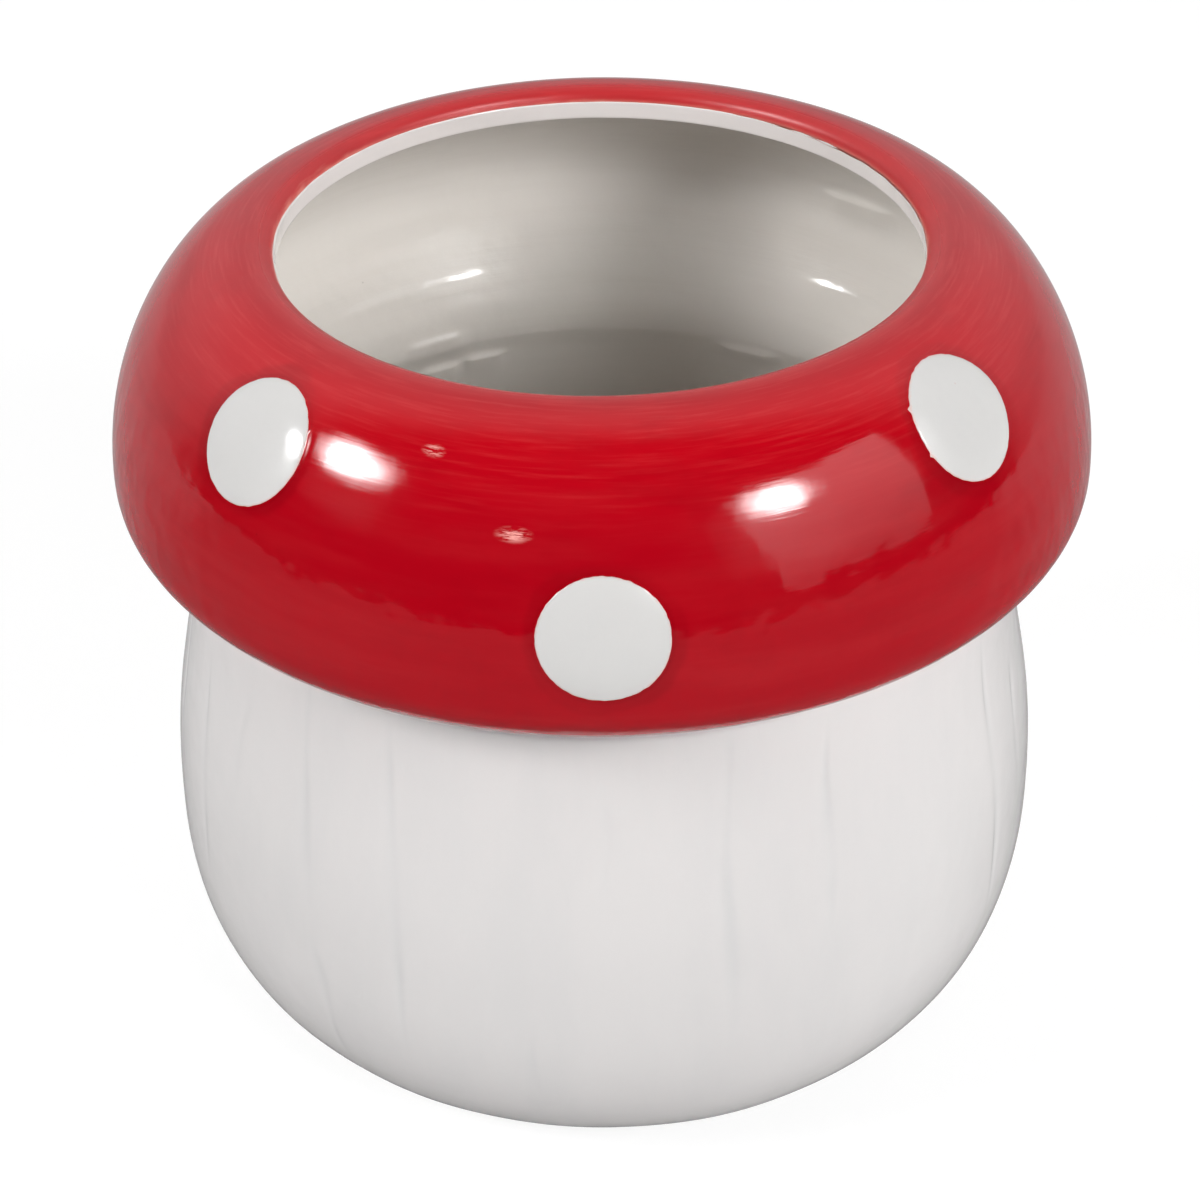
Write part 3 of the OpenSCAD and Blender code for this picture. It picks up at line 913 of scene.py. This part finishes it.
def red_glaze_material():
    material, tree = new_material("red glaze", RED_BODY, roughness=0.09)
    lay = coat_value(tree, "lay", "Vector")
    way = put(tree, "SeparateXYZ", {0: lay}).outputs[2]
    upper = subtract(tree, 1.0, stepped(tree, way, *UPPER_WAY))
    strokes = group(tree, BRUSHED, lay, Around=16.0, Down=0.75, Low=0.44, High=0.76)
    wide_strokes = group(tree, BRUSHED, lay, Around=42.0, Down=5.0, Low=0.4, High=0.72)
    fine = group(tree, BRUSHED, lay, Around=2.6, Down=0.35, Low=0.42, High=0.6)
    dark = group(tree, BRUSHED, lay, Around=26.0, Down=7.0, Low=0.45, High=0.8)
    drawn = group(tree, BRUSHED, lay, Around=26.0, Down=1.1, Low=0.2, High=0.8)
    holes = group(tree, PINHOLES, lay, Spacing=9.0, Size=0.32, Share=0.35)
    bright = multiply(tree, upper, stepped(tree, way, *BRIGHT_WAY, start=0.3))
    colour = blended(tree, bright, RED_BODY, RED_UPPER)
    thin = add(tree, multiply(tree, multiply(tree, strokes, upper), 0.24), multiply(tree, wide_strokes, 0.07))
    colour = blended(tree, thin, colour, RED_THIN_AND_SHEEN)
    colour = tinted(tree, colour, RED_POOL_AND_SHADE, dark, share=0.22)
    # paler towards the lip: thin glaze, and painted reflection of the white room
    colour = blended(tree, stepped(tree, way, *PALE_LIP_WAY, start=0.35, end=0.0), colour, RED_THIN_AND_SHEEN)
    # painted glints: pale pink patches of fine streaks
    for mark in PAINTED_GLINTS:
        glint = multiply(tree, coat_dab(tree, lay, *mark), fine)
        colour = tinted(tree, colour, GLINT_PINK, glint, share=1.4, clamp=True)
    # darker where glaze pools, and painted shade round the spots
    colour = tinted(tree, colour, RED_POOL_AND_SHADE, coat_value(tree, "pool_and_shade"), share=0.5, clamp=True)
    frayed = add(tree, way, stepped(tree, wide_strokes, start=0.3, end=-0.5))
    colour = blended(tree, subtract(tree, 1.0, stepped(tree, frayed, *EDGE_WAY)), colour, RED_EDGE)
    colour = tinted(tree, colour, RED_POOL_AND_SHADE, holes, share=0.7)
    rough = add(tree, stepped(tree, strokes, start=0.07, end=0.1), multiply(tree, holes, 0.3))
    # the glaze is thin and less glossy over the lip
    rough = add(tree, rough, stepped(tree, way, *ROUGH_LIP_WAY, start=0.3, end=0.0))
    skin = group(tree, SKIN, lay, Wave=9.0, Peel=1.5, Peel_Share=0.05)
    height = add(tree, skin, multiply(tree, drawn, 0.09))
    # the brush left the glaze thick and uneven on the lower half of the cap
    daubed = group(tree, SKIN, lay, Wave=4.5, Peel=1.5, Peel_Share=0.02)
    height = add(tree, height, multiply(tree, daubed, stepped(tree, way, *DAUBED_WAY, start=0.2, end=2.6)))
    height = add(tree, height, multiply(tree, coat_dab(tree, lay, *LUMP), 1.2))
    height = subtract(tree, height, multiply(tree, holes, 0.12))
    return finished(material, colour, rough, height, distance=0.13 * MM, strength=0.6)


def white_glaze_material():
    material, tree = new_material("white glaze", WHITE_GLAZE, roughness=0.12)
    lay = coat_value(tree, "lay", "Vector")
    mottle = group(tree, BRUSHED, lay, Around=9.0, Down=30.0, Low=0.35, High=0.75)
    specks = group(tree, PINHOLES, lay, Spacing=11.0, Size=0.3, Share=0.22)
    colour = tinted(tree, WHITE_GLAZE, GREY_AND_GROOVE_SHADE, mottle, share=0.12)
    # painted shade: the pressed streaks are tinted grey
    colour = tinted(tree, colour, GREY_AND_GROOVE_SHADE, coat_value(tree, "pressed"), share=0.25, clamp=True)
    colour = tinted(tree, colour, SPECK, specks, share=0.6)
    rough = stepped(tree, mottle, start=0.1, end=0.17)
    skin = group(tree, SKIN, lay, Wave=7.0, Peel=1.2, Peel_Share=0.12)
    return finished(material, colour, rough, skin, distance=0.2 * MM, strength=0.5)


def inside_glaze_material():
    material, tree = new_material("inside glaze", INSIDE_WHITE, roughness=0.12)
    lay = coat_value(tree, "lay", "Vector")
    ripples = group(tree, BRUSHED, lay, Around=40.0, Down=3.0, Low=0.4, High=0.8)
    specks = group(tree, PINHOLES, lay, Spacing=9.0, Size=0.3, Share=0.2)
    colour = tinted(tree, INSIDE_WHITE, INSIDE_GREY, ripples, share=0.3)
    colour = blended(tree, coat_value(tree, "band"), colour, BAND_WHITE)
    colour = tinted(tree, colour, SPECK, specks, share=0.5)
    rough = stepped(tree, ripples, start=0.1, end=0.15)
    skin = group(tree, SKIN, lay, Wave=6.0, Peel=1.4, Peel_Share=0.1)
    height = add(tree, skin, multiply(tree, ripples, 0.15))
    return finished(material, colour, rough, height, distance=0.3 * MM, strength=0.6)


def spot_enamel_material():
    material, tree = new_material("spot enamel", ENAMEL_WHITE, roughness=0.16)
    lay = coat_value(tree, "lay", "Vector")
    fray = group(tree, BRUSHED, lay, Around=0.8, Down=0.8, Low=0.3, High=0.7)
    cloud = group(tree, BRUSHED, lay, Around=5.0, Down=5.0, Low=0.4, High=0.8)
    specks = group(tree, PINHOLES, lay, Spacing=3.1, Size=0.22, Share=0.3)
    rim = stepped(tree, add(tree, coat_value(tree, "rim"), multiply(tree, fray, 0.022)), low=0.975, high=1.015)
    colour = tinted(tree, ENAMEL_WHITE, GREY_AND_GROOVE_SHADE, cloud, share=0.1)
    colour = tinted(tree, colour, RED_EDGE, rim, share=0.35)
    colour = tinted(tree, colour, RED_SPECK, specks, share=0.5)
    rough = stepped(tree, cloud, start=0.14, end=0.2)
    skin = group(tree, SKIN, lay, Wave=3.5, Peel=0.8, Peel_Share=0.15)
    return finished(material, colour, rough, skin, distance=0.15 * MM, strength=0.6)


def bisque_material(name, colour, dark):
    """Bare fired clay or slip: matt, grainy, with small pits."""
    material, tree = new_material(name, colour, roughness=0.8)
    place = put(tree, "TexCoord").outputs["Object"]
    lay = made(tree, "VectorMath", {0: place, "Scale": 1 / MM}, operation="SCALE")
    grain = group(tree, BRUSHED, lay, Around=0.6, Down=0.6, Low=0.3, High=0.7)
    cloud = group(tree, BRUSHED, lay, Around=14.0, Down=9.0, Low=0.35, High=0.7)
    pits = group(tree, PINHOLES, lay, Spacing=2.2, Size=0.35, Share=0.4)
    for mask, share in ((cloud, 0.35), (grain, 0.2), (pits, 0.6)):
        colour = tinted(tree, colour, dark, mask, share)
    rough = stepped(tree, grain, start=0.7, end=0.9)
    height = subtract(tree, multiply(tree, grain, 0.4), pits)
    return finished(material, colour, rough, height, distance=0.15 * MM, strength=0.8)


# Pieces

dress(build_red_glaze(), "red_glaze", red_glaze_material())
enamel = spot_enamel_material()
for spot_name in SPOTS:
    dress(build_spot(spot_name), spot_name, enamel)
dress(build_stem_glaze(), "stem_glaze", white_glaze_material())
dress(build_inner_glaze(), "inner_glaze", inside_glaze_material())

clay = bisque_material("cast clay", CLAY, CLAY_DARK)
slip = bisque_material("luting slip", SLIP, SLIP_DARK)
for node_name, node_material in (("stem_pot", clay), ("cap_shell", clay), ("neck_slip", slip)):
    node_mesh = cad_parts[node_name].data
    node_mesh.materials.clear()
    node_mesh.materials.append(node_material)


# Floor

FLOOR_HALF = 3.0
FLOOR_GLOW = 0.8
FLOOR_COLOUR = (0.62, 0.62, 0.62)
FLOOR_SEEN = (0.26, 0.26, 0.26)
WHITE = (1, 1, 1, 1)
# Seen in the gloss, the table is grey in front and white behind
TABLE_DEPTHS, TABLE_FRONT, TABLE_BACK = (-0.05, 0.3), 0.22, 0.48


def seen_plainly(tree, path):
    return reckon(tree, "MAXIMUM", path["Is Camera Ray"], path["Is Transmission Ray"])


def build_floor():
    side = FLOOR_HALF
    mesh = bpy.data.meshes.new("floor")
    corners = [(-side, -side, 0), (side, -side, 0), (side, side, 0), (-side, side, 0)]
    mesh.from_pydata(corners, [], [(0, 1, 2, 3)])
    floor = bpy.data.objects.new("floor", mesh)
    bpy.context.scene.collection.objects.link(floor)
    material = bpy.data.materials.new("pale table")
    material.use_nodes = True
    tree = material.node_tree
    tree.nodes.clear()
    path = put(tree, "LightPath").outputs
    seen = seen_plainly(tree, path)
    matt = made(tree, "BsdfDiffuse", {"Color": blended(tree, seen, FLOOR_COLOUR, FLOOR_SEEN)})
    glow = made(tree, "Emission", {"Color": WHITE, "Strength": multiply(tree, seen, FLOOR_GLOW)})
    both = made(tree, "AddShader", {0: matt, 1: glow})
    depth = put(tree, "SeparateXYZ", {0: put(tree, "TexCoord").outputs["Object"]}).outputs[1]
    level = stepped(tree, depth, *TABLE_DEPTHS, start=TABLE_FRONT, end=TABLE_BACK)
    mirrored = made(tree, "Emission", {"Color": WHITE, "Strength": level})
    shown = made(tree, "MixShader", {0: path["Is Glossy Ray"], 1: both, 2: mirrored})
    tree.links.new(shown, put(tree, "OutputMaterial").inputs[0])
    mesh.materials.append(material)


build_floor()


# Light

CAP_MIDDLE = np.array([0.0, 0.0, 0.12])
KEY_FALL = 3.0
PANEL_FOOT = 0.25


def lamp(name, turn, rise, distance, width, height, power, lights_up=False, falls_off=False):
    """A soft box that faces the cap and either lights the glaze or shows in its gloss.

    In the gloss its face falls off from its middle, or grows darker towards its lower edge.
    """
    data = bpy.data.lights.new(name, "AREA")
    data.shape = "RECTANGLE"
    data.size, data.size_y = width, height
    data.energy = power
    light = bpy.data.objects.new(name, data)
    turn, rise = math.radians(turn), math.radians(rise)
    side = (math.cos(turn), math.sin(turn), 0)
    up = around(turn, -math.sin(rise), math.cos(rise))
    back = around(turn, math.cos(rise), math.sin(rise))
    light.matrix_world = Matrix([*zip(side, up, back, CAP_MIDDLE + distance * back), (0, 0, 0, 1)])
    light.visible_diffuse = lights_up
    light.visible_glossy = not lights_up
    if not lights_up:
        data.use_nodes = True
        tree = data.node_tree
        place = put(tree, "SeparateXYZ", {0: put(tree, "NewGeometry").outputs["Parametric"]}).outputs
        if falls_off:
            x, y = [subtract(tree, multiply(tree, part, 2.0), 1.0) for part in place[:2]]
            away = add(tree, multiply(tree, x, x), multiply(tree, y, y))
            level = reckon(tree, "POWER", subtract(tree, 1.0, away, clamp=True), KEY_FALL)
        else:
            level = stepped(tree, place[1], smooth=False, start=PANEL_FOOT)
        tree.links.new(level, tree.nodes["Emission"].inputs["Strength"])
    bpy.context.scene.collection.objects.link(light)


# Each lamp: its turn and rise in degrees, its distance, width and height in metres, and its power in watts
lamp("soft box left", -67, 31, 1.5, 0.5, 0.5, 14.7, lights_up=True)
lamp("soft box right", 41, 28, 1.5, 0.65, 0.6, 17.8, lights_up=True)
lamp("side left", -105, 18, 1.5, 0.6, 0.5, 2.8, lights_up=True)
lamp("side right", 86, 16, 1.5, 0.6, 0.5, 3.2, lights_up=True)
lamp("key left", -72.5, 41, 2.0, 0.95, 0.72, 118.0, falls_off=True)
lamp("key right", 46.3, 39, 2.0, 0.72, 0.6, 72.0, falls_off=True)
lamp("panel right", 57.5, 26.3, 1.3, 0.94, 0.9, 5.3)


# What the gloss sees of the room, by direction: dark in front, bright behind, and a little dimmer low down
ROOM_LEAN, ROOM_WAYS, ROOM_FRONT, ROOM_BACK = 0.25, (0.1, 0.55), 0.003, 0.62
ROOM_RISES, ROOM_LOW, ROOM_HIGH = (0.0, 0.4), 0.7, 1.05


def build_world():
    world = bpy.data.worlds.new("studio")
    bpy.context.scene.world = world
    world.use_nodes = True
    world.cycles.sampling_method = "NONE"
    tree = world.node_tree
    tree.nodes.clear()
    path = put(tree, "LightPath").outputs
    way = put(tree, "SeparateXYZ", {0: put(tree, "TexCoord").outputs["Generated"]}).outputs
    behind = add(tree, way[1], multiply(tree, way[2], ROOM_LEAN))
    mirrored = stepped(tree, behind, *ROOM_WAYS, start=ROOM_FRONT, end=ROOM_BACK)
    mirrored = multiply(tree, mirrored, stepped(tree, way[2], *ROOM_RISES, start=ROOM_LOW, end=ROOM_HIGH))
    seen = seen_plainly(tree, path)
    level = made(tree, "Mix", {"Factor": seen, "A": mirrored, "B": 1.0}, data_type="FLOAT")
    back = made(tree, "Background", {"Color": WHITE, "Strength": level})
    tree.links.new(back, put(tree, "OutputWorld").inputs[0])


build_world()


# Camera, as fitted to the photograph's outline

IMAGE_SIDE = 1200
FOCAL_PIXELS, SHIFT_PIXELS = 2787.4, -3.02
SENSOR_W = 36.0
CAMERA_PLACE = (0.0, -0.4088, 0.3517)
CAMERA_TILT = math.radians(90 - 34.325)
CAMERA_ROLL = math.radians(-0.4526)
view = bpy.data.cameras.new("view")
view.sensor_width = SENSOR_W
view.lens = SENSOR_W * FOCAL_PIXELS / IMAGE_SIDE
view.shift_x = SHIFT_PIXELS / IMAGE_SIDE
view.clip_start = 0.01
camera = bpy.data.objects.new("view", view)
camera.matrix_world = (Matrix.Translation(CAMERA_PLACE) @ Matrix.Rotation(CAMERA_TILT, 4, "X")
                       @ Matrix.Rotation(CAMERA_ROLL, 4, "Z"))
bpy.context.scene.collection.objects.link(camera)
bpy.context.scene.camera = camera
bpy.context.scene.view_settings.view_transform = "Standard"
